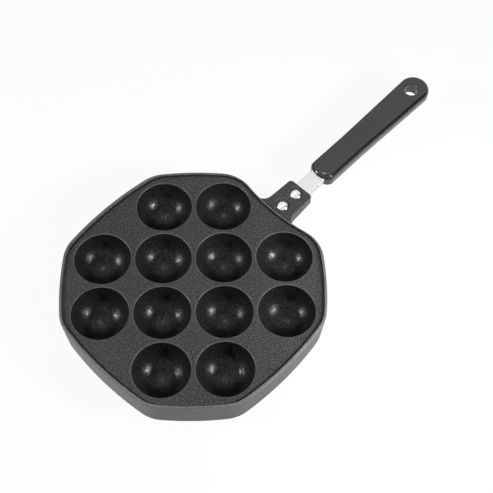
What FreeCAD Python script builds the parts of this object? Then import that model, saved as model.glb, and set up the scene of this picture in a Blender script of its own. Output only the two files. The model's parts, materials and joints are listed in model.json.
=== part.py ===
import FreeCAD, Part
import math
import os

# Takoyaki pan: a cast body with twelve round bowls, a riveted steel strap and a moulded grip.
# Lengths are millimetres. The handle runs along +X, +Z is up and the pan rests on z = 0.
# Modelling is done round the pan's centre; the last step moves the origin to the middle of the length.

# Cast body: four sides facing the bowl rows and four between them; all bow out but the lug's own
side_count = 8
row_half_width = 97.8
slant_half_width = 94.2
lug_side_half_width = 87.3
row_bow_radius = 245.0
slant_bow_radius = 260.0
lug_side_hollow_radius = 160.0
body_corner_radius = 29.0
body_height = 28.0
skirt_wall = 3.0
skirt_draft = 1.9
rim_edge_round = 0.9

# Recessed deck inside the raised lip
deck_recess = 1.8
deck_thickness = 3.0
lip_width = 2.1
lip_slope = 0.5
slant_lip_slope = 1.9
lug_lip_width = 1.4

# Bowls on a square grid turned forty-five degrees to the handle
bowl_pitch = 45.0
bowl_radius = 21.0
bowl_wall = 3.0
bowl_mouth_chamfer = 0.8
bowls_per_row = 4

# Lug cast on the side that carries the handle
lug_end_x = 118.0
lug_root_half_width = 12.4
lug_end_half_width = 11.3
lug_end_corner_radius = 3.0
lug_flare_radius = 8.5
lug_root_depth = 10.5
lug_end_depth = 7.2
lug_roof = 2.4
lug_channel_start = 89.5
lug_channel_gap = 0.25

# Rivets through the lug's roof and the strap
inner_rivet_x = 96.4
rivet_spacing = 14.8
rivet_shank_radius = 2.5
rivet_hole_gap = 0.1
rivet_head_radius = 4.6
rivet_head_height = 2.2
rivet_tail_radius = 3.6
rivet_tail_face_radius = 2.8
rivet_tail_height = 1.6
rivet_seat_radius = 5.6
rivet_seat_depth = 1.0

# Strap: sheet steel folded into a channel with its flanges down
strap_width = 13.0
strap_height = 5.0
strap_sheet = 1.5
strap_bend_radius = 0.9
strap_start_x = 90.5
strap_end_x = 201.0

# Grip
grip_nose_x = 135.8
grip_end_x = 267.8
grip_neck_half_width = 10.8
grip_end_radius = 12.5
grip_taper_start_x = 180.0
grip_nose_radius = 14.0
grip_nose_corner_radius = 5.5
grip_above_deck = 0.8
grip_nose_thickness = 12.0
grip_end_thickness = 10.4
grip_edge_round = 2.6
grip_slot_gap = 0.2
hanging_hole_x = 251.4
hanging_hole_radius = 5.75

# Screw that holds the strap inside the grip, from below
screw_x = 186.0
screw_shank_radius = 1.9
screw_head_radius = 3.6
screw_head_face_radius = 3.0
screw_head_height = 1.8
screw_seat_depth = 2.6
screw_hole_gap = 0.1
screw_head_gap = 0.3

# Tools that cut right through a piece reach this far past it
overrun = 5.0

# Levels and places that follow from the sizes above
deck_z = body_height - deck_recess
lug_top_z = deck_z
strap_top_z = lug_top_z - lug_roof
strap_bottom_z = strap_top_z - strap_height
grip_top_z = deck_z + grip_above_deck
outer_rivet_x = inner_rivet_x + rivet_spacing
rivet_seat_z = lug_top_z - rivet_seat_depth
strap_half_width = strap_width / 2
screw_seat_z = grip_top_z - grip_nose_thickness + screw_seat_depth
overall_centre_x = (grip_end_x - slant_half_width) / 2
cutter_half_width = row_half_width + overrun


def point(x, y, z=0.0):
    return FreeCAD.Vector(x, y, z)


def box_between(low, high):
    size = [high[i] - low[i] for i in range(3)]
    return Part.makeBox(size[0], size[1], size[2], point(*low))


def body_sides(row_inset, slant_inset, lug_inset):
    """Circles of the eight sides: centre, radius and whether the side is bowed outwards."""
    sides = []
    for number in range(side_count):
        angle = 2 * math.pi * number / side_count
        if number == 0:
            distance = lug_side_half_width + lug_side_hollow_radius
            radius = lug_side_hollow_radius + lug_inset
            bowed = False
        elif number % 2 == 0:
            distance = slant_half_width - slant_bow_radius
            radius = slant_bow_radius - slant_inset
            bowed = True
        else:
            distance = row_half_width - row_bow_radius
            radius = row_bow_radius - row_inset
            bowed = True
        centre = point(distance * math.cos(angle), distance * math.sin(angle))
        sides.append((centre, radius, bowed))
    return sides


def corner_circle_centre(first, second, corner_radius):
    """Centre of the corner arc that touches two neighbouring sides."""
    reach = [side[1] - corner_radius if side[2] else side[1] + corner_radius for side in (first, second)]
    between = second[0] - first[0]
    gap = between.Length
    along = (reach[0] ** 2 - reach[1] ** 2 + gap ** 2) / (2 * gap)
    across = math.sqrt(reach[0] ** 2 - along ** 2)
    unit = between / gap
    square = point(-unit.y, unit.x)
    middle = first[0] + unit * along
    choices = [middle + square * across, middle - square * across]
    inside = [spot for spot in choices if spot.Length < row_half_width]
    return max(inside, key=lambda spot: spot.Length)


def touch_point(side, corner_centre):
    centre, radius = side[:2]
    return centre + (corner_centre - centre).normalize() * radius


def body_outline(z, row_inset, slant_inset, lug_inset, corner_inset):
    """Closed outline of sixteen arcs, drawn in from the top edge by the given insets."""
    sides = body_sides(row_inset, slant_inset, lug_inset)
    corner_radius = body_corner_radius - corner_inset
    corners = []
    for number in range(side_count):
        following_side = sides[(number + 1) % side_count]
        corners.append(corner_circle_centre(sides[number], following_side, corner_radius))
    lift = point(0, 0, z)
    edges = []
    for number in range(side_count):
        side = sides[number]
        before = corners[number - 1]
        after = corners[number]
        start = touch_point(side, before)
        end = touch_point(side, after)
        half_way = (start + end) / 2
        bulge = (half_way - side[0]).normalize() * side[1] + side[0]
        edges.append(Part.Arc(start + lift, bulge + lift, end + lift).toShape())
        following = touch_point(sides[(number + 1) % side_count], after)
        outwards = ((end + following) / 2 - after).normalize()
        corner_bulge = after + outwards * corner_radius
        edges.append(Part.Arc(end + lift, corner_bulge + lift, following + lift).toShape())
    return Part.Wire(edges)


def even_outline(z, inset):
    return body_outline(z, inset, inset, inset, inset)


def draft_inset(z):
    """How far the drafted skirt has drawn in at a height."""
    return skirt_draft * (body_height - z) / body_height


def drafted_prism(bottom_z, top_z, wall):
    """Solid inside the skirt's outer surface, drawn in by a wall thickness."""
    bottom = even_outline(bottom_z, draft_inset(bottom_z) + wall)
    top = even_outline(top_z, draft_inset(top_z) + wall)
    return Part.makeLoft([bottom, top], True, True)


def lip_recess():
    """Space above the deck, with the lip's sloping inner wall."""
    rise = deck_recess + overrun
    spread = rise / deck_recess
    narrow = body_outline(
        deck_z,
        lip_width + lip_slope,
        lip_width + slant_lip_slope,
        lug_lip_width + lip_slope,
        lip_width + lip_slope,
    )
    wide = body_outline(
        deck_z + rise,
        lip_width + lip_slope - lip_slope * spread,
        lip_width + slant_lip_slope - slant_lip_slope * spread,
        lug_lip_width + lip_slope - lip_slope * spread,
        lip_width + lip_slope - lip_slope * spread,
    )
    return Part.makeLoft([narrow, wide], True, True)


def bowl_centres():
    """Grid places of the bowls, leaving out the four corners, turned in line with the handle."""
    centres = []
    middle = (bowls_per_row - 1) / 2
    turn = math.sqrt(0.5)
    for column in range(bowls_per_row):
        for row in range(bowls_per_row):
            across = column - middle
            along = row - middle
            if abs(across) == middle and abs(along) == middle:
                continue
            centres.append((bowl_pitch * (across + along) * turn, bowl_pitch * (along - across) * turn))
    return centres


def bowl_space():
    """Space of one bowl: most of a half ball, with a narrow bevel round its mouth."""
    low_x = math.sqrt(bowl_radius ** 2 - bowl_mouth_chamfer ** 2)
    bevel_start = point(low_x, 0, -bowl_mouth_chamfer)
    bevel_end = point(low_x + bowl_mouth_chamfer, 0, 0)
    bottom = point(0, 0, -bowl_radius)
    halfway_angle = (math.atan2(bevel_start.z, bevel_start.x) - math.pi / 2) / 2
    halfway = point(bowl_radius * math.cos(halfway_angle), 0, bowl_radius * math.sin(halfway_angle))
    above = deck_recess + overrun
    outer_top = point(bevel_end.x, 0, above)
    inner_top = point(0, 0, above)
    edges = [
        Part.Arc(bottom, halfway, bevel_start).toShape(),
        Part.makeLine(bevel_start, bevel_end),
        Part.makeLine(bevel_end, outer_top),
        Part.makeLine(outer_top, inner_top),
        Part.makeLine(inner_top, bottom),
    ]
    profile = Part.Face(Part.Wire(edges))
    return profile.revolve(point(0, 0, 0), point(0, 0, 1), 360)


def bowl_cup():
    """Outside of one bowl below the deck: an upright wall, a bevel and a flat bottom round the ball."""
    outer = bowl_radius + bowl_wall
    bevel_angle = math.pi / 4
    shoulder = outer * math.tan(bevel_angle / 2)
    corners = [
        point(0, 0, 0),
        point(outer, 0, 0),
        point(outer, 0, -shoulder),
        point(shoulder, 0, -outer),
        point(0, 0, -outer),
        point(0, 0, 0),
    ]
    return Part.Face(Part.makePolygon(corners)).revolve(point(0, 0, 0), point(0, 0, 1), 360)


def on_deck(shape, place):
    moved = shape.copy()
    moved.translate(point(place[0], place[1], deck_z))
    return moved


def lug_plan():
    """Lug seen from above, flared where it leaves the body."""
    root_x = lug_side_half_width - skirt_wall - skirt_draft
    side_start = point(lug_side_half_width, lug_root_half_width)
    side_end = point(lug_end_x, lug_end_half_width)
    side_unit = (side_end - side_start).normalize()
    side_normal = point(-side_unit.y, side_unit.x)
    hollow = lug_side_hollow_radius + draft_inset(lug_top_z - lug_root_depth)
    hollow_centre = point(lug_side_half_width + lug_side_hollow_radius, 0)
    base = side_start + side_normal * lug_flare_radius - hollow_centre
    reach = hollow - lug_flare_radius
    half = base.dot(side_unit)
    slide = -half - math.sqrt(half ** 2 - base.dot(base) + reach ** 2)
    flare_centre = side_start + side_normal * lug_flare_radius + side_unit * slide
    on_side = flare_centre - side_normal * lug_flare_radius
    on_body = hollow_centre + (flare_centre - hollow_centre).normalize() * hollow
    flare_out = ((on_side + on_body) / 2 - flare_centre).normalize()
    flare_mid = flare_centre + flare_out * lug_flare_radius
    trim = lug_end_corner_radius * math.tan((math.pi / 2 - math.atan2(-side_unit.y, side_unit.x)) / 2)
    corner_start = side_end - side_unit * trim
    corner_end = side_end - point(0, trim)
    corner_centre = corner_start - side_normal * lug_end_corner_radius
    corner_out = ((corner_start + corner_end) / 2 - corner_centre).normalize()
    corner_mid = corner_centre + corner_out * lug_end_corner_radius
    upper = [
        (point(root_x, on_body.y), on_body),
        (on_body, flare_mid, on_side),
        (on_side, corner_start),
        (corner_start, corner_mid, corner_end),
    ]
    return mirrored_plan(upper)


def mirrored_plan(upper):
    """Closed face from edges on the +Y side, run from the -X end to the +X end, and their mirror."""
    def edge(spots):
        if len(spots) == 2:
            return Part.makeLine(*spots)
        return Part.Arc(*spots).toShape()

    def flip(spot):
        return point(spot.x, -spot.y)

    edges = [edge(spots) for spots in upper]
    first = upper[0][0]
    last = upper[-1][-1]
    if last.y > 0:
        edges.append(Part.makeLine(last, flip(last)))
    for spots in reversed(upper):
        edges.append(edge([flip(spot) for spot in reversed(spots)]))
    if first.y > 0:
        edges.append(Part.makeLine(flip(first), first))
    return Part.Face(Part.Wire(edges))


def lug_solid():
    """Lug with its underside rising from the root to the end."""
    plan = lug_plan()
    plan.translate(point(0, 0, lug_top_z - lug_root_depth))
    block = plan.extrude(point(0, 0, lug_root_depth))
    root_z = lug_top_z - lug_root_depth
    end_z = lug_top_z - lug_end_depth
    wedge_side = Part.makePolygon([
        point(lug_side_half_width, -cutter_half_width, root_z),
        point(lug_end_x + overrun, -cutter_half_width, root_z),
        point(lug_end_x + overrun, -cutter_half_width, end_z),
        point(lug_end_x, -cutter_half_width, end_z),
        point(lug_side_half_width, -cutter_half_width, root_z),
    ])
    wedge = Part.Face(wedge_side).extrude(point(0, 2 * cutter_half_width, 0))
    return block.cut(wedge)


def lug_channel():
    """Channel under the lug's roof, open below and at the end, where the strap lies."""
    half = strap_half_width + lug_channel_gap
    low = (lug_channel_start, -half, strap_top_z - lug_root_depth)
    high = (lug_end_x + overrun, half, strap_top_z)
    return box_between(low, high)


def rivet_openings(x):
    hole = Part.makeCylinder(
        rivet_shank_radius + rivet_hole_gap,
        lug_roof + strap_height + overrun,
        point(x, 0, strap_bottom_z),
    )
    seat = Part.makeCylinder(rivet_seat_radius, overrun, point(x, 0, rivet_seat_z))
    return hole.fuse(seat)


def round_top_edge(solid):
    """Round the outer edge of the rim."""
    top_face = max(solid.Faces, key=lambda face: face.CenterOfMass.z)
    return solid.makeFillet(rim_edge_round, top_face.Edges)


def pan_casting():
    shell = round_top_edge(drafted_prism(0.0, body_height, 0.0))
    shell = shell.fuse(lug_solid())
    shell = shell.cut(drafted_prism(-overrun, deck_z - deck_thickness, skirt_wall))
    shell = shell.cut(lip_recess())
    places = bowl_centres()
    shell = shell.fuse([on_deck(bowl_cup(), place) for place in places])
    shell = shell.cut([on_deck(bowl_space(), place) for place in places])
    shell = shell.cut(lug_channel())
    shell = shell.cut([rivet_openings(x) for x in (inner_rivet_x, outer_rivet_x)])
    return shell


def strap_section(width, height, sheet, bend):
    """Channel section in the YZ plane at x = 0, web on top, with rounded folds."""
    half = width / 2
    side = math.sqrt(0.5) * bend
    centre_y = half - bend
    centre_z = -bend
    edges = [
        Part.makeLine(point(0, -centre_y, 0), point(0, centre_y, 0)),
        Part.Arc(point(0, centre_y, 0), point(0, centre_y + side, centre_z + side),
                 point(0, half, centre_z)).toShape(),
        Part.makeLine(point(0, half, centre_z), point(0, half, -height)),
        Part.makeLine(point(0, half, -height), point(0, half - sheet, -height)),
        Part.makeLine(point(0, half - sheet, -height), point(0, half - sheet, -sheet)),
        Part.makeLine(point(0, half - sheet, -sheet), point(0, sheet - half, -sheet)),
        Part.makeLine(point(0, sheet - half, -sheet), point(0, sheet - half, -height)),
        Part.makeLine(point(0, sheet - half, -height), point(0, -half, -height)),
        Part.makeLine(point(0, -half, -height), point(0, -half, centre_z)),
        Part.Arc(point(0, -half, centre_z), point(0, -centre_y - side, centre_z + side),
                 point(0, -centre_y, 0)).toShape(),
    ]
    return Part.Face(Part.Wire(edges))


def handle_strap():
    section = strap_section(strap_width, strap_height, strap_sheet, strap_bend_radius)
    section.translate(point(strap_start_x, 0, strap_top_z))
    strap = section.extrude(point(strap_end_x - strap_start_x, 0, 0))
    for x in (inner_rivet_x, outer_rivet_x):
        hole_radius = rivet_shank_radius + rivet_hole_gap
        hole = Part.makeCylinder(hole_radius, strap_height + overrun, point(x, 0, strap_bottom_z))
        strap = strap.cut(hole)
    screw_hole = Part.makeCylinder(screw_shank_radius + screw_hole_gap, strap_height + overrun,
                                   point(screw_x, 0, strap_bottom_z))
    return strap.cut(screw_hole)


def domed_head(radius, height):
    """Domed head standing on z = 0: a cap of a ball."""
    ball_radius = (radius ** 2 + height ** 2) / (2 * height)
    ball = Part.makeSphere(ball_radius, point(0, 0, height - ball_radius))
    return ball.common(Part.makeCylinder(radius, height, point(0, 0, 0)))


def rivet(x):
    """Rivet with a domed head in its seat and a smaller formed tail under the strap's web."""
    tail_z = strap_top_z - strap_sheet
    head = domed_head(rivet_head_radius, rivet_head_height)
    head.translate(point(0, 0, rivet_seat_z))
    shank = Part.makeCylinder(rivet_shank_radius, rivet_seat_z - tail_z, point(0, 0, tail_z))
    tail = Part.makeCone(rivet_tail_face_radius, rivet_tail_radius, rivet_tail_height,
                         point(0, 0, tail_z - rivet_tail_height))
    shape = head.fuse([shank, tail]).removeSplitter()
    shape.translate(point(x, 0, 0))
    return shape


def grip_plan():
    """Grip seen from above: rounded nose, straight neck, widening to a round end."""
    neck = grip_neck_half_width
    end_centre = point(grip_end_x - grip_end_radius, 0)
    bend = point(grip_taper_start_x, neck)
    to_centre = end_centre - bend
    distance = to_centre.Length
    lean = math.asin(grip_end_radius / distance)
    run = math.sqrt(distance ** 2 - grip_end_radius ** 2)
    heading = math.atan2(to_centre.y, to_centre.x) + lean
    taper_end = bend + point(math.cos(heading), math.sin(heading)) * run
    tip = point(grip_end_x, 0)
    tip_angle = math.atan2(taper_end.y, taper_end.x - end_centre.x) / 2
    end_mid = end_centre + point(math.cos(tip_angle), math.sin(tip_angle)) * grip_end_radius
    nose_centre = point(grip_nose_x + grip_nose_radius, 0)
    corner_y = neck - grip_nose_corner_radius
    reach = grip_nose_radius - grip_nose_corner_radius
    corner_centre = point(nose_centre.x - math.sqrt(reach ** 2 - corner_y ** 2), corner_y)
    nose_end = nose_centre + (corner_centre - nose_centre).normalize() * grip_nose_radius
    nose_angle = (math.pi + math.atan2(nose_end.y, nose_end.x - nose_centre.x)) / 2
    nose_mid = nose_centre + point(math.cos(nose_angle), math.sin(nose_angle)) * grip_nose_radius
    neck_start = corner_centre + point(0, grip_nose_corner_radius)
    corner_out = ((nose_end + neck_start) / 2 - corner_centre).normalize()
    corner_mid = corner_centre + corner_out * grip_nose_corner_radius
    upper = [
        (point(grip_nose_x, 0), nose_mid, nose_end),
        (nose_end, corner_mid, neck_start),
        (neck_start, bend),
        (bend, taper_end),
        (taper_end, end_mid, tip),
    ]
    return mirrored_plan(upper)


def grip_body():
    """Grip before its openings: thinner towards the end, with rounded edges."""
    plan = grip_plan()
    bottom_z = grip_top_z - grip_nose_thickness
    plan.translate(point(0, 0, bottom_z))
    block = plan.extrude(point(0, 0, grip_nose_thickness))
    end_bottom_z = grip_top_z - grip_end_thickness
    wedge_side = Part.makePolygon([
        point(grip_nose_x, -cutter_half_width, bottom_z),
        point(grip_nose_x, -cutter_half_width, bottom_z - overrun),
        point(grip_end_x, -cutter_half_width, bottom_z - overrun),
        point(grip_end_x, -cutter_half_width, end_bottom_z),
        point(grip_nose_x, -cutter_half_width, bottom_z),
    ])
    block = block.cut(Part.Face(wedge_side).extrude(point(0, 2 * cutter_half_width, 0)))
    top_face = max(block.Faces, key=lambda face: face.CenterOfMass.z)
    bottom_face = min(block.Faces, key=lambda face: face.CenterOfMass.z)
    return block.makeFillet(grip_edge_round, top_face.Edges + bottom_face.Edges)


def strap_slot():
    """Slot in the grip that takes the strap, a little larger all round."""
    half = strap_half_width + grip_slot_gap
    low = (grip_nose_x - overrun, -half, strap_bottom_z - grip_slot_gap)
    high = (strap_end_x + grip_slot_gap, half, strap_top_z + grip_slot_gap)
    return box_between(low, high)


def grip():
    shape = grip_body().cut(strap_slot())
    deep = grip_nose_thickness + 2 * overrun
    below = grip_top_z - grip_nose_thickness - overrun
    shape = shape.cut(Part.makeCylinder(hanging_hole_radius, deep, point(hanging_hole_x, 0, below)))
    screw_hole = Part.makeCylinder(screw_shank_radius + screw_hole_gap, strap_bottom_z - below,
                                   point(screw_x, 0, below))
    seat_radius = screw_head_radius + screw_head_gap
    seat = Part.makeCylinder(seat_radius, screw_seat_z - below, point(screw_x, 0, below))
    return shape.cut([screw_hole, seat])


def grip_screw():
    """Screw with a tapered head, driven up through the grip into the strap's web."""
    head = Part.makeCone(screw_head_face_radius, screw_head_radius, screw_head_height,
                         point(0, 0, screw_seat_z - screw_head_height))
    shank = Part.makeCylinder(screw_shank_radius, strap_top_z - screw_seat_z, point(0, 0, screw_seat_z))
    shape = head.fuse(shank)
    shape.translate(point(screw_x, 0, 0))
    return shape


def main():
    os.makedirs("parts", exist_ok=True)
    pieces = {
        "pan_casting": pan_casting(),
        "handle_strap": handle_strap(),
        "inner_rivet": rivet(inner_rivet_x),
        "outer_rivet": rivet(outer_rivet_x),
        "grip": grip(),
        "grip_screw": grip_screw(),
    }
    for name, shape in pieces.items():
        shape.translate(point(-overall_centre_x, 0, 0))
        shape.exportStep("parts/" + name + ".step")
        print(name, "solids", len(shape.Solids), "valid", shape.isValid(), "volume", round(shape.Volume))


main()
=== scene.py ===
import json
import math

import bmesh
import bpy
from mathutils import Matrix, Vector

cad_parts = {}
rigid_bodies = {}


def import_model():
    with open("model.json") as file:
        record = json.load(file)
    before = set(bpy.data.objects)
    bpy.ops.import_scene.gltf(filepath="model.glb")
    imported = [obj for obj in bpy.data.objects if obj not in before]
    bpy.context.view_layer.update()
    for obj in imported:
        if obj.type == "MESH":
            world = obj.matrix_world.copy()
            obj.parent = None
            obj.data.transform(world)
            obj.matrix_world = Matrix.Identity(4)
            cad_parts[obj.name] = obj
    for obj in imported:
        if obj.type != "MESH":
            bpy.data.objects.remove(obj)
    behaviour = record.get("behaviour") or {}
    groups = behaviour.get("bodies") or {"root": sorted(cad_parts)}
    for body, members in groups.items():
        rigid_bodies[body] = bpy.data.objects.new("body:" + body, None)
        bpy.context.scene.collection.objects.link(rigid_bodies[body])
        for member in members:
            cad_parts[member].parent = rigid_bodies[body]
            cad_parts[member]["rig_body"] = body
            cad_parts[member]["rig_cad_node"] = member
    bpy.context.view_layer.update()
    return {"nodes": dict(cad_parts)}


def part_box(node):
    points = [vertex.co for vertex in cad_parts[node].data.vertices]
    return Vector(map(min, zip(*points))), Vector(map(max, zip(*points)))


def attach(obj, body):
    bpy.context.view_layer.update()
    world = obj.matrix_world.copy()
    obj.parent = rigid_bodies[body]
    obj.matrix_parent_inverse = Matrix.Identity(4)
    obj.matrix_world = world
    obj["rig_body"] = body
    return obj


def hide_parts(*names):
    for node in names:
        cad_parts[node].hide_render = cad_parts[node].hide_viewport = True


# Takoyaki pan: a coated casting with twelve bowls, a steel strap on two rivets, and a resin grip.
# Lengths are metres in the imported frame: the handle runs along +X and the pan rests on z = 0.

bl_info = {
    "name": "Takoyaki Pan",
    "version": (1, 0, 0),
    "blender": (4, 5, 0),
    "location": "3D View > Sidebar > Takoyaki Pan",
    "description": "Dresses the packed takoyaki pan and sets up its studio stage",
    "category": "Object",
}

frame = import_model()
casting_low, casting_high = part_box("pan_casting")
grip_low, grip_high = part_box("grip")
strap_low, strap_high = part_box("handle_strap")
screw_low, screw_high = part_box("grip_screw")

# Corners nearer than this are one corner.
MERGE_DISTANCE = 1e-5
# Shortest edge left in the grip's outline.
OUTLINE_STEP = 4e-4
# Depth below the grip's top at which its outline is taken, above the slot's ceiling.
OUTLINE_DEPTH = 0.0028
# The bowl's opening in the deck lies within this distance past the ball's radius.
MOUTH_MARGIN = 0.0015
# A face lies flat where its normal's height is above this.
FLAT = 0.97
# Faces of the casting that meet within this angle are one flat face.
SAME_FACE_ANGLE = math.radians(0.2)
# Past this angle an edge of the casting is a corner to soften.
CORNER_ANGLE = math.radians(8)
# Past this angle an edge keeps its line in the shading.
SHADING_ANGLE = math.radians(30)
# Past this angle an edge of the grip's block belongs to its rim, in radians.
RIM_ANGLE = 1.0
# Numbers of the casting's finishes, in the order in which they are put on. The edge and rim finishes are
# lighter for wear and for painted highlights, and the lip's foot finish is painted shade.
DECK, BOWLS, OUTSIDE, EDGES, PAINTED_LIP_SHADE, RIM_WEAR_AND_HIGHLIGHT = range(6)


class PanSizes(bpy.types.PropertyGroup):
    bowl_radius: bpy.props.FloatProperty(
        name="Bowl radius", description="Radius of the ball that each bowl forms",
        default=0.021, unit="LENGTH")
    bowl_pitch: bpy.props.FloatProperty(
        name="Bowl spacing", description="Distance between neighbouring bowls in a row",
        default=0.045, unit="LENGTH")
    pan_centre_x: bpy.props.FloatProperty(
        name="Pan centre", description="Place of the pan's centre along the handle's axis",
        default=-0.0868, unit="LENGTH")
    deck_height: bpy.props.FloatProperty(
        name="Deck height", description="Height of the deck's top face",
        default=0.0262, unit="LENGTH")
    mouth_round: bpy.props.FloatProperty(
        name="Mouth rounding", description="Radius of the rounded edge round each bowl",
        default=0.00075, unit="LENGTH")
    lip_edge_bevel: bpy.props.FloatProperty(
        name="Lip edge", description="Width of the softened inner edge on top of the lip",
        default=0.0003, unit="LENGTH")
    # Down this depth the rim's top and outer round-over are painted lighter: partly wear, partly a
    # painted highlight on the crest.
    rim_wear_and_highlight: bpy.props.FloatProperty(
        name="Rim wear", description="Depth of the worn finish down the rim's outer edge",
        default=0.0009, unit="LENGTH")
    lug_edge_bevel: bpy.props.FloatProperty(
        name="Lug edge", description="Width of the softened edge round the lug's top",
        default=0.0005, unit="LENGTH")
    # The strip below this height at the lip's foot is painted darker: painted shade in the crease where
    # the lip meets the deck.
    lip_foot: bpy.props.FloatProperty(
        name="Lip foot", description="Height of the darker seam where the lip meets the deck",
        default=0.0010, unit="LENGTH")
    grip_crown: bpy.props.FloatProperty(
        name="Grip crown", description="Radius of the rounding along the grip's top edge",
        default=0.0044, unit="LENGTH")
    grip_base_round: bpy.props.FloatProperty(
        name="Grip base edge", description="Radius of the rounding along the grip's bottom edge",
        default=0.0026, unit="LENGTH")
    grip_end_thickness: bpy.props.FloatProperty(
        name="Grip end thickness", description="Thickness of the grip at the hanging hole's end",
        default=0.0104, unit="LENGTH")
    slot_gap: bpy.props.FloatProperty(
        name="Slot gap", description="Gap between the strap and the slot in the grip",
        default=0.0002, unit="LENGTH")
    hole_x: bpy.props.FloatProperty(
        name="Hanging hole place", description="Place of the hanging hole along the handle's axis",
        default=0.1646, unit="LENGTH")
    hole_radius: bpy.props.FloatProperty(
        name="Hanging hole radius", description="Radius of the hanging hole",
        default=0.00575, unit="LENGTH")
    hole_bevel: bpy.props.FloatProperty(
        name="Hanging hole edge", description="Width of the rounding round the hanging hole's top",
        default=0.0006, unit="LENGTH")
    screw_hole_radius: bpy.props.FloatProperty(
        name="Screw hole radius", description="Radius of the hole for the screw's shank",
        default=0.0020, unit="LENGTH")
    screw_seat_radius: bpy.props.FloatProperty(
        name="Screw seat radius", description="Radius of the recess round the screw's head",
        default=0.0039, unit="LENGTH")
    screw_seat_depth: bpy.props.FloatProperty(
        name="Screw seat depth", description="Depth of the recess round the screw's head",
        default=0.0026, unit="LENGTH")
    lug_start_x: bpy.props.FloatProperty(
        name="Lug start", description="Place along the handle's axis where the lug leaves the rim",
        default=0.0015, unit="LENGTH")


class FinishColours(bpy.types.PropertyGroup):
    deck: bpy.props.FloatVectorProperty(
        name="Deck", description="Colour of the coating on the deck, the lip and the lug's top",
        subtype="COLOR", size=4, default=(0.0128, 0.0128, 0.0134, 1.0), min=0.0, max=1.0)
    bowl: bpy.props.FloatVectorProperty(
        name="Bowl", description="Colour of the smoother coating in the bowls",
        subtype="COLOR", size=4, default=(0.0084, 0.0084, 0.0086, 1.0), min=0.0, max=1.0)
    outside: bpy.props.FloatVectorProperty(
        name="Outside", description="Colour of the paint on the skirt and the underside",
        subtype="COLOR", size=4, default=(0.020, 0.020, 0.0206, 1.0), min=0.0, max=1.0)
    # Lighter edge colour: partly wear, partly a painted highlight on the bowls' rounded mouths, the lug's
    # edges and the rivet seats' edges.
    edge: bpy.props.FloatVectorProperty(
        name="Edge", description="Colour of the thinner coating on rubbed edges",
        subtype="COLOR", size=4, default=(0.048, 0.048, 0.049, 1.0), min=0.0, max=1.0)
    # Lighter rim colour: partly wear, partly a painted highlight on the rim's crest and round-over.
    rim: bpy.props.FloatVectorProperty(
        name="Rim", description="Colour of the worn coating along the rim",
        subtype="COLOR", size=4, default=(0.100, 0.100, 0.101, 1.0), min=0.0, max=1.0)
    steel: bpy.props.FloatVectorProperty(
        name="Steel", description="Colour of the strap's brushed steel",
        subtype="COLOR", size=4, default=(0.80, 0.80, 0.81, 1.0), min=0.0, max=1.0)
    rivet: bpy.props.FloatVectorProperty(
        name="Rivet", description="Colour of the bright rivets",
        subtype="COLOR", size=4, default=(0.84, 0.84, 0.84, 1.0), min=0.0, max=1.0)
    resin: bpy.props.FloatVectorProperty(
        name="Resin", description="Colour of the moulded grip",
        subtype="COLOR", size=4, default=(0.006, 0.006, 0.0063, 1.0), min=0.0, max=1.0)


class StageSizes(bpy.types.PropertyGroup):
    camera_place: bpy.props.FloatVectorProperty(
        name="Camera place", description="Where the camera stands", subtype="TRANSLATION",
        size=3, default=(-0.3337, -0.2757, 0.7188))
    camera_heading: bpy.props.FloatProperty(
        name="Camera heading", description="Direction of the view, turned from +X towards +Y",
        default=math.radians(42.27), subtype="ANGLE")
    camera_drop: bpy.props.FloatProperty(
        name="Camera drop", description="How far the view points below the horizon",
        default=math.radians(59.90), subtype="ANGLE")
    camera_roll: bpy.props.FloatProperty(
        name="Camera roll", description="Turn of the picture about the view's axis",
        default=math.radians(1.662), subtype="ANGLE")
    lens: bpy.props.FloatProperty(
        name="Lens", description="Focal length for a sensor 36 mm wide", default=78.1)
    floor_size: bpy.props.FloatProperty(
        name="Floor size", description="Side of the square floor", default=12.0, unit="LENGTH")
    floor_gap: bpy.props.FloatProperty(
        name="Floor gap", description="Distance of the floor below the pan's skirt",
        default=0.0002, unit="LENGTH")
    wall_radius: bpy.props.FloatProperty(
        name="Wall radius", description="Radius of the low dark screen all round",
        default=2.4, unit="LENGTH")
    wall_height: bpy.props.FloatProperty(
        name="Wall height", description="Height of the low dark screen all round",
        default=0.70, unit="LENGTH")
    wall_gap: bpy.props.FloatProperty(
        name="Wall gap", description="Height of the low dark screen's foot above the floor",
        default=0.02, unit="LENGTH")
    lamp_aim: bpy.props.FloatVectorProperty(
        name="Lamp aim", description="The place on the deck that the lamps point at",
        subtype="TRANSLATION", size=3, default=(-0.087, 0.0, 0.026))
    even_light: bpy.props.FloatProperty(
        name="Even light", description="Strength of the light that comes from all round", default=0.14)


def activate(piece):
    """Selects one object alone and makes it active."""
    bpy.ops.object.select_all(action="DESELECT")
    piece.select_set(True)
    bpy.context.view_layer.objects.active = piece


def edit(piece):
    """Opens a piece for editing, with all of it selected."""
    activate(piece)
    bpy.ops.object.mode_set(mode="EDIT")
    bpy.ops.mesh.select_all(action="SELECT")


def choose(piece, kind, test):
    """Selects only those faces, edges or corners of the open piece that pass a test."""
    bpy.ops.mesh.select_all(action="DESELECT")
    bpy.ops.mesh.select_mode(type=kind)
    mesh = bmesh.from_edit_mesh(piece.data)
    for item in {"FACE": mesh.faces, "EDGE": mesh.edges, "VERT": mesh.verts}[kind]:
        item.select = test(item)
    mesh.select_flush_mode()
    bmesh.update_edit_mesh(piece.data)


def leave_edit():
    bpy.ops.object.mode_set(mode="OBJECT")


def settle(piece):
    """Puts the piece's place into its mesh and hangs it on the pan's one body."""
    activate(piece)
    bpy.ops.object.transform_apply(location=True, rotation=True, scale=True)
    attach(piece, "root")


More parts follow.
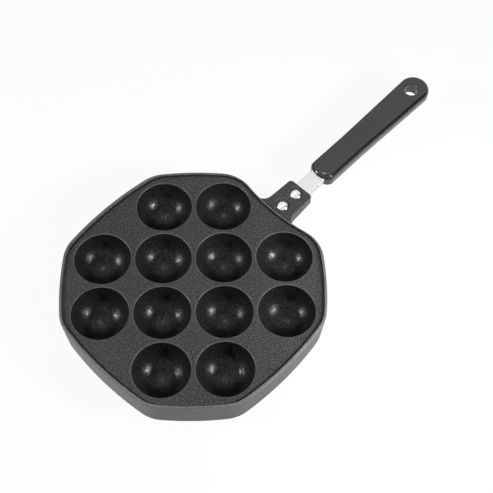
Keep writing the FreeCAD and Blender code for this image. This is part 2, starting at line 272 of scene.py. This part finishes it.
def merged_copy(node, name):
    """A new piece with the node's faces, joined at their shared corners."""
    piece = frame["nodes"][node].copy()
    piece.data = piece.data.copy()
    piece.name = name
    piece.data.name = name
    piece.parent = None
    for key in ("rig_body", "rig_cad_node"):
        if key in piece:
            del piece[key]
    bpy.context.scene.collection.objects.link(piece)
    activate(piece)
    bpy.ops.mesh.customdata_custom_splitnormals_clear()
    edit(piece)
    bpy.ops.mesh.remove_doubles(threshold=MERGE_DISTANCE)
    leave_edit()
    return piece


def smooth(piece):
    """Smooth shading on curved faces, with flat faces kept flat."""
    activate(piece)
    bpy.ops.object.shade_smooth_by_angle(angle=SHADING_ANGLE)
    weighted = piece.modifiers.new("even_normals", "WEIGHTED_NORMAL")
    weighted.keep_sharp = True
    weighted.weight = 100
    bpy.ops.object.modifier_apply(modifier=weighted.name)


def dress(piece, materials):
    """Gives a new piece its finishes, in order."""
    piece.data.materials.clear()
    for material in materials:
        piece.data.materials.append(material)


def finish_node(name, material):
    """Gives a piece that keeps its own shape a new finish."""
    for slot in frame["nodes"][name].material_slots:
        slot.material = material


class Value:
    """A shader socket that takes part in sums."""

    def __init__(self, nodes, socket):
        self.nodes = nodes
        self.socket = socket

    def _math(self, operation, first, second):
        return self.nodes.add("ShaderNodeMath", {"operation": operation}, {0: first, 1: second})

    def __add__(self, other):
        return self._math("ADD", self, other)

    def __radd__(self, other):
        return self._math("ADD", other, self)

    def __sub__(self, other):
        return self._math("SUBTRACT", self, other)

    def __rsub__(self, other):
        return self._math("SUBTRACT", other, self)

    def __mul__(self, other):
        return self._math("MULTIPLY", self, other)

    def __rmul__(self, other):
        return self._math("MULTIPLY", other, self)


class Nodes:
    """The node tree of one material or of the world."""

    def __init__(self, owner, output_kind="ShaderNodeOutputMaterial"):
        owner.use_nodes = True
        self.owner = owner
        self.tree = owner.node_tree
        self.tree.nodes.clear()
        self.output = self.tree.nodes.new(output_kind)

    def add(self, kind, settings=None, inputs=None, out=0):
        """Adds a node: its settings first, then the values or links of its sockets."""
        node = self.tree.nodes.new(kind)
        for key, value in (settings or {}).items():
            setattr(node, key, value)
        for key, value in (inputs or {}).items():
            if isinstance(value, Value):
                self.tree.links.new(value.socket, node.inputs[key])
            else:
                node.inputs[key].default_value = value
        return Value(self, node.outputs[out])

    def ray(self, kind):
        """1 where this kind of ray looks, 0 elsewhere."""
        return self.add("ShaderNodeLightPath", out=f"Is {kind} Ray")

    def mix(self, factor, first, second):
        """Mixes two colours, whose sockets are the node's inputs 6 and 7."""
        return self.add("ShaderNodeMix", {"data_type": "RGBA"}, {0: factor, 6: first, 7: second}, out=2)

    def place(self):
        return self.add("ShaderNodeTexCoord", out="Object")

    def stretched(self, along):
        """Object coordinates, scaled along the handle so that a pattern is drawn out there."""
        return self.add("ShaderNodeMapping", {}, {"Vector": self.place(), "Scale": (along, 1.0, 1.0)})

    def noise(self, vector, scale, detail, rough):
        return self.add("ShaderNodeTexNoise", {}, {
            "Vector": vector, "Scale": scale, "Detail": detail, "Roughness": rough})

    def ramp(self, value, low, high):
        """The value drawn out so that low becomes 0 and high becomes 1."""
        return self.add("ShaderNodeMapRange", {"clamp": True}, {
            "Value": value, "From Min": low, "From Max": high})

    def bump(self, height, distance, strength):
        return self.add("ShaderNodeBump", {}, {
            "Height": height, "Distance": distance, "Strength": strength})

    def show(self, shader):
        """Ends the tree with a shader and returns what it belongs to."""
        self.tree.links.new(shader.socket, self.output.inputs["Surface"])
        return self.owner

    def finish(self, inputs):
        """Ends the tree with a solid surface."""
        return self.show(self.add("ShaderNodeBsdfPrincipled", {}, inputs))


def coating_material(name, colour, fleck, roughness, gloss, depth, grain_scale=650.0, sparkle=0.0):
    """Sprayed coating: a sandy grain with lighter flecks, a soft cloudiness and an uneven gloss.

    fleck is how many times lighter the flecks are, depth is the height of the grain in metres, and
    sparkle is the weight of the glossy coat on the flecks.
    """
    nodes = Nodes(bpy.data.materials.new(name))
    place = nodes.place()
    fine = nodes.noise(place, scale=1500.0, detail=3.0, rough=0.65)
    grain = nodes.noise(place, scale=grain_scale, detail=2.0, rough=0.6)
    cloud = nodes.noise(place, scale=22.0, detail=3.0, rough=0.5)
    flecks = nodes.ramp(grain, 0.46, 0.62)
    specks = nodes.ramp(fine, 0.55, 0.72)
    light = tuple(min(1.0, part * fleck) for part in colour[:3]) + (1.0,)
    share = flecks * 0.50 + specks * 0.45 + nodes.ramp(cloud, 0.3, 0.7) * 0.12
    return nodes.finish({
        "Base Color": nodes.mix(share, tuple(colour), light),
        "Roughness": roughness + (fine - 0.5) * 0.60 + (cloud - 0.5) * 0.08,
        "Specular IOR Level": gloss,
        "Coat Weight": (specks * 0.6 + flecks * 0.4) * sparkle,
        "Coat Roughness": 0.27,
        "Coat IOR": 1.75,
        "Normal": nodes.bump(fine * 0.5 + grain, depth, strength=0.6),
    })


def steel_material(colours):
    """Strap steel: brushed along its length."""
    nodes = Nodes(bpy.data.materials.new("strap_steel"))
    streaks = nodes.noise(nodes.stretched(0.02), scale=2600.0, detail=3.0, rough=0.6)
    bands = nodes.noise(nodes.stretched(0.04), scale=620.0, detail=2.0, rough=0.5)
    worn = nodes.ramp(streaks, 0.3, 0.7) * 0.4 + nodes.ramp(bands, 0.45, 0.65) * 0.12
    tint = nodes.mix(worn, tuple(colours.steel), (0.52, 0.52, 0.53, 1.0))
    return nodes.finish({
        "Base Color": tint,
        "Metallic": 1.0,
        "Roughness": 0.26 + streaks * 0.16,
        "Normal": nodes.bump(streaks, 0.00004, strength=0.5),
    })


def rivet_material(colours):
    """Bright aluminium rivet with faint wear marks."""
    nodes = Nodes(bpy.data.materials.new("rivet_metal"))
    wear = nodes.noise(nodes.place(), scale=900.0, detail=3.0, rough=0.6)
    tint = nodes.mix(nodes.ramp(wear, 0.4, 0.75) * 0.5, tuple(colours.rivet), (0.70, 0.70, 0.71, 1.0))
    return nodes.finish({
        "Base Color": tint,
        "Metallic": 1.0,
        "Roughness": 0.12 + wear * 0.16,
        "Normal": nodes.bump(wear, 0.00006, strength=0.5),
    })


def resin_material(colours):
    """Grip resin: glossy, with a faint moulded waviness and a dull grain."""
    nodes = Nodes(bpy.data.materials.new("grip_resin"))
    grain = nodes.noise(nodes.place(), scale=1300.0, detail=3.0, rough=0.6)
    flow = nodes.noise(nodes.stretched(0.25), scale=60.0, detail=2.0, rough=0.5)
    tint = nodes.mix(grain * 0.5 + flow * 0.3, tuple(colours.resin), (0.018, 0.018, 0.019, 1.0))
    return nodes.finish({
        "Base Color": tint,
        "Roughness": 0.15 + grain * 0.10 + flow * 0.05,
        "Specular IOR Level": 0.1,
        "Coat Weight": 0.58 + flow * 0.25,
        "Coat Roughness": 0.06,
        "Coat IOR": 1.7,
        "Normal": nodes.bump(grain, 0.00004, strength=0.4),
    })


def bowl_places(sizes):
    """Middles of the twelve bowls on the deck."""
    turn = math.sqrt(0.5)
    places = []
    for column in (-1.5, -0.5, 0.5, 1.5):
        for row in (-1.5, -0.5, 0.5, 1.5):
            if abs(column) == abs(row) == 1.5:
                continue
            along = sizes.bowl_pitch * (column + row) * turn
            across = sizes.bowl_pitch * (row - column) * turn
            places.append(Vector((sizes.pan_centre_x + along, across, sizes.deck_height)))
    return places


class PAN_OT_casting(bpy.types.Operator):
    """Make the coated casting with its twelve fine round bowls"""
    bl_idname = "pan.casting"
    bl_label = "Casting"
    bowl_steps = 96
    mouth_steps = 6

    def execute(self, context):
        sizes = context.scene.pan_sizes
        piece = merged_copy("pan_casting", "pan_body")
        places = bowl_places(sizes)
        self.open_bowls(piece, sizes, places)
        self.set_bowls(context, piece, sizes, places)
        self.join_mouths(piece, sizes, places)
        self.soften_edges(piece, sizes)
        smooth(piece)
        self.coat(piece, sizes, context.scene.pan_colours)
        settle(piece)
        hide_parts("pan_casting")
        return {"FINISHED"}

    def coat(self, piece, sizes, colours):
        """Gives the deck, the bowls and the outside their own coatings, with lighter edges and rim for
        wear and painted highlights, and painted shade at the lip's foot.
        """
        dress(piece, [
            coating_material(
                "deck_coating", colours.deck, fleck=8.0, roughness=0.50, gloss=0.22, depth=0.0006,
                grain_scale=880.0, sparkle=0.08),
            coating_material(
                "bowl_coating", colours.bowl, fleck=3.0, roughness=0.26, gloss=0.15, depth=0.00034,
                grain_scale=760.0, sparkle=0.70),
            coating_material(
                "outside_paint", colours.outside, fleck=2.6, roughness=0.40, gloss=0.42, depth=0.0003,
                grain_scale=800.0),
            # Lighter edge finish: partly wear, partly painted highlights and glints on rounded edges.
            coating_material(
                "rubbed_edge_and_glint", colours.edge, fleck=2.0, roughness=0.40, gloss=0.40, depth=0.0001),
            # Painted shade: a darker, matte strip in the crease at the lip's foot.
            coating_material(
                "painted_lip_shade", colours.bowl, fleck=2.0, roughness=0.70, gloss=0.05, depth=0.0001),
            # Lighter rim finish: partly wear, partly a painted highlight on the crest.
            coating_material(
                "rim_wear_and_highlight", colours.rim, fleck=1.8, roughness=0.40, gloss=0.40, depth=0.0001),
        ])
        places = bowl_places(sizes)
        for face in piece.data.polygons:
            face.material_index = self.coating_of(face, sizes, places)

    def coating_of(self, face, sizes, places):
        """Which of the coatings a face has, by its place and the way it faces."""
        place = face.center
        from_ball = min((place - middle).length for middle in places) - MERGE_DISTANCE
        if from_ball < sizes.bowl_radius:
            return BOWLS
        # Each bowl's rounded mouth is painted lighter: partly wear, partly a painted highlight ring.
        if from_ball < sizes.bowl_radius + sizes.mouth_round and place.z < sizes.deck_height:
            return EDGES
        outward = Vector((place.x - sizes.pan_centre_x, place.y, 0.0)).dot(face.normal) > 0
        above_deck = place.z > sizes.deck_height + MERGE_DISTANCE
        # The strip at the lip's foot gets painted shade; the lip wall above it gets the deck's coating.
        if above_deck and not outward and face.normal.z < FLAT:
            return PAINTED_LIP_SHADE if place.z < sizes.deck_height + sizes.lip_foot else DECK
        # The rim's top and outer round-over are painted lighter: partly wear, partly a painted highlight.
        if place.z > casting_high.z - sizes.rim_wear_and_highlight and (face.normal.z > FLAT or outward):
            return RIM_WEAR_AND_HIGHLIGHT
        # The lug's softened edges and the edges of the rivet seats are painted lighter: partly wear,
        # partly painted glints.
        lug_edge = place.x > sizes.lug_start_x and place.z > sizes.deck_height - sizes.lug_edge_bevel
        slanted = 0.2 < face.normal.z < 0.98
        if lug_edge and slanted:
            return EDGES
        faces_up = face.normal.z >= 0.70
        if not faces_up and (place.z < sizes.deck_height or outward):
            return OUTSIDE
        return DECK

    def open_bowls(self, piece, sizes, places):
        """Takes the coarse bowls out and leaves a round opening in the deck for each."""
        reach = sizes.bowl_radius + MOUTH_MARGIN

        def in_bowl(face):
            middle = face.calc_center_median()
            below = middle.z < sizes.deck_height - MERGE_DISTANCE
            return below and any((middle - place).length < reach for place in places)

        edit(piece)
        choose(piece, "FACE", in_bowl)
        bpy.ops.mesh.delete(type="FACE")
        leave_edit()

    def set_bowls(self, context, piece, sizes, places):
        """Models one bowl and puts a copy of it into the casting at each place."""
        bowl = self.one_bowl(sizes)
        copies = []
        for place in places:
            copy = bowl.copy()
            copy.data = bowl.data.copy()
            copy.location = place
            context.scene.collection.objects.link(copy)
            copies.append(copy)
        bpy.data.objects.remove(bowl)
        activate(piece)
        for copy in copies:
            copy.select_set(True)
        bpy.ops.object.join()

    def one_bowl(self, sizes):
        """A half ball, drawn up and outwards over the rounded mouth."""
        bpy.ops.object.select_all(action="DESELECT")
        bpy.ops.mesh.primitive_uv_sphere_add(
            segments=self.bowl_steps, ring_count=self.bowl_steps // 2, radius=sizes.bowl_radius,
            location=(0.0, 0.0, 0.0))
        bowl = bpy.context.object
        rounding = sizes.mouth_round
        reach = sizes.bowl_radius + rounding
        crest_x = math.sqrt(reach ** 2 - rounding ** 2)
        cut_z = -rounding * sizes.bowl_radius / reach
        edit(bowl)
        bpy.ops.mesh.bisect(plane_co=(0.0, 0.0, cut_z), plane_no=(0.0, 0.0, 1.0), clear_outer=True)
        radius = math.sqrt(sizes.bowl_radius ** 2 - cut_z ** 2)
        height = cut_z
        start = math.atan2(cut_z + rounding, radius - crest_x)
        for step in range(1, self.mouth_steps + 1):
            angle = start + (math.pi / 2 - start) * step / self.mouth_steps
            next_radius = crest_x + rounding * math.cos(angle)
            next_height = -rounding + rounding * math.sin(angle)
            choose(bowl, "EDGE", lambda edge: edge.is_boundary)
            bpy.ops.mesh.extrude_edges_move()
            bpy.ops.transform.resize(value=(next_radius / radius, next_radius / radius, 1.0))
            bpy.ops.transform.translate(value=(0.0, 0.0, next_height - height))
            radius = next_radius
            height = next_height
        bpy.ops.mesh.select_all(action="SELECT")
        bpy.ops.mesh.flip_normals()
        leave_edit()
        return bowl

    def join_mouths(self, piece, sizes, places):
        """Joins each bowl's top ring to the opening in the deck."""
        reach = sizes.bowl_radius + MOUTH_MARGIN

        def at_mouth(edge, place):
            middle = (edge.verts[0].co + edge.verts[1].co) / 2
            return edge.is_boundary and (middle - place).length < reach

        for place in places:
            edit(piece)
            choose(piece, "EDGE", lambda edge: at_mouth(edge, place))
            bpy.ops.mesh.bridge_edge_loops()
            leave_edit()

    def soften_edges(self, piece, sizes):
        """Softens the lip's inner top edge and the lug's top edges, and marks off the lip's foot as a
        strip for the painted shade.
        """
        foot_top = sizes.deck_height + sizes.lip_foot

        def on_lip_or_lug(face):
            place = face.calc_center_median()
            lip = place.z > sizes.deck_height + MERGE_DISTANCE
            lug = place.x > sizes.lug_start_x and abs(place.z - sizes.deck_height) < MERGE_DISTANCE
            return lip or lug

        edit(piece)
        choose(piece, "FACE", on_lip_or_lug)
        bpy.ops.mesh.dissolve_limited(angle_limit=SAME_FACE_ANGLE)
        leave_edit()
        self.bevel_edges(piece, casting_high.z, sizes.lip_edge_bevel, start_x=casting_low.x)
        self.bevel_edges(piece, sizes.deck_height, sizes.lug_edge_bevel, start_x=sizes.lug_start_x)
        edit(piece)
        choose(piece, "FACE", lambda face: max(v.co.z for v in face.verts) > foot_top)
        bpy.ops.mesh.bisect(plane_co=(0.0, 0.0, foot_top), plane_no=(0.0, 0.0, 1.0))
        leave_edit()
        for corner in piece.data.vertices:
            corner.co.z = min(corner.co.z, casting_high.z)

    def bevel_edges(self, piece, height, width, start_x):
        """Bevels the convex edges at one height, past one place along the handle's axis."""

        def to_bevel(edge):
            level = edge.is_convex and all(
                abs(v.co.z - height) < MERGE_DISTANCE and v.co.x > start_x for v in edge.verts)
            return level and len(edge.link_faces) == 2 and edge.calc_face_angle() > CORNER_ANGLE

        edit(piece)
        choose(piece, "EDGE", to_bevel)
        bpy.ops.mesh.bevel(offset=width, segments=2, affect="EDGES")
        leave_edit()


class PAN_OT_strap(bpy.types.Operator):
    """Finish the folded steel strap"""
    bl_idname = "pan.strap"
    bl_label = "Strap"

    def execute(self, context):
        finish_node("handle_strap", steel_material(context.scene.pan_colours))
        return {"FINISHED"}


class PAN_OT_rivets(bpy.types.Operator):
    """Smooth and finish the two bright rivets"""
    bl_idname = "pan.rivets"
    bl_label = "Rivets"

    def execute(self, context):
        material = rivet_material(context.scene.pan_colours)
        for name in ("inner_rivet", "outer_rivet"):
            piece = merged_copy(name, name + "_bright")
            smooth(piece)
            dress(piece, [material])
            settle(piece)
            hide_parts(name)
        return {"FINISHED"}


class PAN_OT_grip(bpy.types.Operator):
    """Make the moulded grip with its hanging hole, its slot and the screw's recess"""
    bl_idname = "pan.grip"
    bl_label = "Grip"
    crown_steps = 8
    round_steps = 64

    def execute(self, context):
        sizes = context.scene.pan_sizes
        piece = self.block(sizes)
        self.hollow(piece, sizes)
        self.soften_hole(piece, sizes)
        smooth(piece)
        dress(piece, [resin_material(context.scene.pan_colours)])
        settle(piece)
        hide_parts("grip")
        return {"FINISHED"}

    def outline(self, sizes, level):
        """Opens a piece that is one face: the grip's outline at a level, without the hanging hole."""
        piece = merged_copy("grip", "grip_moulding")
        hole = Vector((sizes.hole_x, 0.0, level))
        hole_reach = sizes.hole_radius * 1.1
        edit(piece)
        bpy.ops.mesh.bisect(
            plane_co=(0.0, 0.0, level), plane_no=(0.0, 0.0, 1.0), clear_inner=True, clear_outer=True)
        choose(piece, "VERT", lambda corner: (corner.co - hole).length < hole_reach)
        bpy.ops.mesh.delete(type="VERT")
        bpy.ops.mesh.select_all(action="SELECT")
        bpy.ops.mesh.remove_doubles(threshold=OUTLINE_STEP)
        bpy.ops.mesh.select_all(action="SELECT")
        bpy.ops.mesh.edge_face_add()
        return piece

    def block(self, sizes):
        """The grip's outline drawn out to its thickness, thinner at the end, with rounded edges."""
        level = grip_high.z - OUTLINE_DEPTH
        piece = self.outline(sizes, level)
        bpy.ops.transform.translate(value=(0.0, 0.0, grip_high.z - level))
        bpy.ops.mesh.extrude_region_move(
            TRANSFORM_OT_translate={"value": (0.0, 0.0, grip_low.z - grip_high.z)})
        choose(piece, "EDGE", lambda edge: edge.is_boundary)
        bpy.ops.mesh.edge_face_add()
        bpy.ops.mesh.select_all(action="SELECT")
        bpy.ops.mesh.normals_make_consistent(inside=False)
        rise = (grip_high.z - sizes.grip_end_thickness - grip_low.z) / (grip_high.x - grip_low.x)
        bpy.ops.mesh.bisect(
            plane_co=(grip_low.x, 0.0, grip_low.z), plane_no=(-rise, 0.0, 1.0),
            clear_inner=True, use_fill=True)
        leave_edit()
        self.round_rim(piece, sizes.grip_crown, side=1.0)
        self.round_rim(piece, sizes.grip_base_round, side=-1.0)
        return piece

    def round_rim(self, piece, width, side):
        """Rounds the edge round the top face, or with side -1 round the bottom face."""

        def on_rim(edge):
            flat = [face for face in edge.link_faces if face.normal.z * side > FLAT]
            return len(edge.link_faces) == 2 and len(flat) == 1 and edge.calc_face_angle() > RIM_ANGLE

        edit(piece)
        choose(piece, "EDGE", on_rim)
        bpy.ops.mesh.bevel(offset=width, segments=self.crown_steps, affect="EDGES")
        leave_edit()

    def hollow(self, piece, sizes):
        """Cuts the hanging hole, the strap's slot, the screw's hole and its recess."""
        screw_x = (screw_low.x + screw_high.x) / 2
        deep = grip_high.z - grip_low.z
        seat_top = grip_low.z + sizes.screw_seat_depth
        gap = Vector((1.0, 1.0, 1.0)) * sizes.slot_gap
        slot_high = strap_high + gap
        slot_low = strap_low - gap
        slot_low.x = grip_low.x - deep
        bpy.ops.object.select_all(action="DESELECT")
        bpy.ops.mesh.primitive_cube_add(
            size=1.0, location=(slot_low + slot_high) / 2, scale=slot_high - slot_low)
        self.cut(piece, bpy.context.object)
        for place_x, radius, low, high in (
            (sizes.hole_x, sizes.hole_radius, grip_low.z - deep, grip_high.z + deep),
            (screw_x, sizes.screw_hole_radius, grip_low.z - deep, strap_low.z),
            (screw_x, sizes.screw_seat_radius, grip_low.z - deep, seat_top),
        ):
            bpy.ops.object.select_all(action="DESELECT")
            bpy.ops.mesh.primitive_cylinder_add(
                vertices=self.round_steps, radius=radius, depth=high - low,
                location=(place_x, 0.0, (low + high) / 2))
            self.cut(piece, bpy.context.object)

    def cut(self, piece, cutter):
        """Takes the cutter's shape out of the piece, and the cutter away."""
        activate(piece)
        opening = piece.modifiers.new("opening", "BOOLEAN")
        opening.operation = "DIFFERENCE"
        opening.solver = "EXACT"
        opening.object = cutter
        bpy.ops.object.modifier_apply(modifier=opening.name)
        bpy.data.objects.remove(cutter)

    def soften_hole(self, piece, sizes):
        """Rounds the top edge of the hanging hole."""
        middle = Vector((sizes.hole_x, 0.0, grip_high.z))

        def on_hole(edge):
            return all(
                abs((v.co - middle).length - sizes.hole_radius) < MERGE_DISTANCE * 5
                and abs(v.co.z - grip_high.z) < MERGE_DISTANCE for v in edge.verts)

        edit(piece)
        choose(piece, "EDGE", on_hole)
        bpy.ops.mesh.bevel(offset=sizes.hole_bevel, segments=3, affect="EDGES")
        leave_edit()


class PAN_OT_screw(bpy.types.Operator):
    """Finish the screw under the grip"""
    bl_idname = "pan.screw"
    bl_label = "Screw"

    def execute(self, context):
        finish_node("grip_screw", bpy.data.materials["strap_steel"])
        return {"FINISHED"}


class PAN_OT_stage(bpy.types.Operator):
    """Set up the floor, the lamps and the camera"""
    bl_idname = "pan.stage"
    bl_label = "Stage"

    def execute(self, context):
        stage = context.scene.pan_stage
        self.floor(stage)
        self.world(context, stage)
        self.lamps(stage)
        self.camera(context, stage)
        self.screens(stage)
        context.scene.view_settings.view_transform = "Standard"
        return {"FINISHED"}

    def floor(self, stage):
        """A floor that is seen as nearly white, keeps the pan's shadow, and is clear from below."""
        bpy.ops.object.select_all(action="DESELECT")
        bpy.ops.mesh.primitive_plane_add(size=stage.floor_size, location=(0.0, 0.0, -stage.floor_gap))
        floor = bpy.context.object
        floor.name = "studio_floor"
        nodes = Nodes(bpy.data.materials.new("floor_white"))
        lit = nodes.add("ShaderNodeBsdfDiffuse", {}, {"Color": (0.9, 0.9, 0.9, 1.0)})
        glow = nodes.add("ShaderNodeEmission", {}, {"Color": (0.985, 0.985, 0.985, 1.0), "Strength": 1.0})
        white_share = nodes.ray("Camera") * 0.94 + nodes.ray("Glossy") * 0.90
        above = nodes.add("ShaderNodeMixShader", {}, {0: white_share, 1: lit, 2: glow})
        clear = nodes.add("ShaderNodeBsdfTransparent")
        from_below = nodes.add("ShaderNodeNewGeometry", out="Backfacing")
        floor.data.materials.append(nodes.show(
            nodes.add("ShaderNodeMixShader", {}, {0: from_below, 1: above, 2: clear})))

    def world(self, context, stage):
        """White where it is seen or mirrored, and a weak even light elsewhere."""
        nodes = Nodes(bpy.data.worlds.new("studio_world"), "ShaderNodeOutputWorld")
        seen = nodes.ray("Camera") + nodes.ray("Glossy")
        level = seen * (1.0 - stage.even_light) + stage.even_light
        context.scene.world = nodes.show(nodes.add(
            "ShaderNodeBackground", {}, {"Color": (1.0, 1.0, 1.0, 1.0), "Strength": level}))

    def lamps(self, stage):
        """Low lamps at the right and the left, a weak one overhead, and a near one that only lights."""
        aim = Vector(stage.lamp_aim)
        for name, direction, distance, width, power in (
            ("lamp_right", (0.330, -0.757, 0.450), 0.65, 0.085, 3.4),
            ("lamp_left", (-0.660, 0.545, 0.455), 1.10, 0.125, 8.6),
            ("lamp_overhead", (0.157, 0.170, 0.972), 1.30, 0.18, 1.3),
            ("lamp_near", (0.62, -0.68, 0.34), 0.26, 0.14, 0.62),
        ):
            place = aim + Vector(direction).normalized() * distance
            bpy.ops.object.light_add(type="AREA", location=place)
            lamp = bpy.context.object
            lamp.name = name
            lamp.data.size = width
            lamp.data.energy = power
            lamp.rotation_euler = (aim - place).to_track_quat("-Z", "Y").to_euler()
            lamp.visible_camera = False
            lamp.visible_glossy = name != "lamp_near"

    def screens(self, stage):
        """Three dark screens that only reflections see: at the right, at the camera and all round."""
        nodes = Nodes(bpy.data.materials.new("screen_black"))
        black = nodes.finish({
            "Base Color": (0.010, 0.010, 0.010, 1.0), "Roughness": 0.9, "Specular IOR Level": 0.0})
        far_right = Vector((0.55, -1.50, 0.75))
        behind_camera = Vector(stage.camera_place) * 1.10
        for name, place, radius in (
            ("screen_right", far_right, 1.15),
            ("screen_camera", behind_camera, 0.14),
        ):
            bpy.ops.object.select_all(action="DESELECT")
            bpy.ops.mesh.primitive_circle_add(
                vertices=48, radius=radius, fill_type="NGON", location=place,
                rotation=place.to_track_quat("Z", "Y").to_euler())
            self.darken(name, black)
        bpy.ops.object.select_all(action="DESELECT")
        bpy.ops.mesh.primitive_cylinder_add(
            vertices=64, radius=stage.wall_radius, depth=stage.wall_height, end_fill_type="NOTHING",
            location=(0.0, 0.0, stage.wall_height / 2 + stage.wall_gap))
        self.darken("screen_far", black)

    def darken(self, name, material):
        """Makes the screen just added one that only reflections see."""
        screen = bpy.context.object
        screen.name = name
        screen.data.materials.append(material)
        screen.visible_camera = False
        screen.visible_diffuse = False
        screen.visible_shadow = False

    def camera(self, context, stage):
        """The camera, aimed by its heading, its drop and its roll."""
        bpy.ops.object.camera_add(location=stage.camera_place)
        camera = bpy.context.object
        camera.data.sensor_width = 36.0
        camera.data.lens = stage.lens
        forward = Vector((
            math.cos(stage.camera_heading) * math.cos(stage.camera_drop),
            math.sin(stage.camera_heading) * math.cos(stage.camera_drop),
            -math.sin(stage.camera_drop)))
        level_right = forward.cross(Vector((0.0, 0.0, 1.0))).normalized()
        turn = Matrix.Rotation(-stage.camera_roll, 3, forward)
        right = turn @ level_right
        up = right.cross(forward)
        camera.rotation_mode = "QUATERNION"
        camera.rotation_quaternion = Matrix((right, up, -forward)).transposed().to_quaternion()
        context.scene.camera = camera


class PAN_PT_panel(bpy.types.Panel):
    """Lists the pan's pieces and the stage"""
    bl_idname = "PAN_PT_panel"
    bl_label = "Takoyaki Pan"
    bl_space_type = "VIEW_3D"
    bl_region_type = "UI"
    bl_category = "Takoyaki Pan"

    def draw(self, context):
        for group in (context.scene.pan_sizes, context.scene.pan_colours, context.scene.pan_stage):
            for name in group.__annotations__:
                self.layout.prop(group, name)
        for operator in OPERATORS:
            self.layout.operator(operator.bl_idname)


OPERATORS = (PAN_OT_casting, PAN_OT_strap, PAN_OT_rivets, PAN_OT_grip, PAN_OT_screw, PAN_OT_stage)
GROUPS = {"pan_sizes": PanSizes, "pan_colours": FinishColours, "pan_stage": StageSizes}


def register():
    for cls in (*GROUPS.values(), *OPERATORS, PAN_PT_panel):
        bpy.utils.register_class(cls)
    for name, group in GROUPS.items():
        setattr(bpy.types.Scene, name, bpy.props.PointerProperty(type=group))


def unregister():
    for name in GROUPS:
        delattr(bpy.types.Scene, name)
    for cls in reversed((*GROUPS.values(), *OPERATORS, PAN_PT_panel)):
        bpy.utils.unregister_class(cls)


def main():
    register()
    bpy.ops.pan.casting()
    bpy.ops.pan.strap()
    bpy.ops.pan.rivets()
    bpy.ops.pan.grip()
    bpy.ops.pan.screw()
    bpy.ops.pan.stage()


if __name__ == "__main__":
    main()
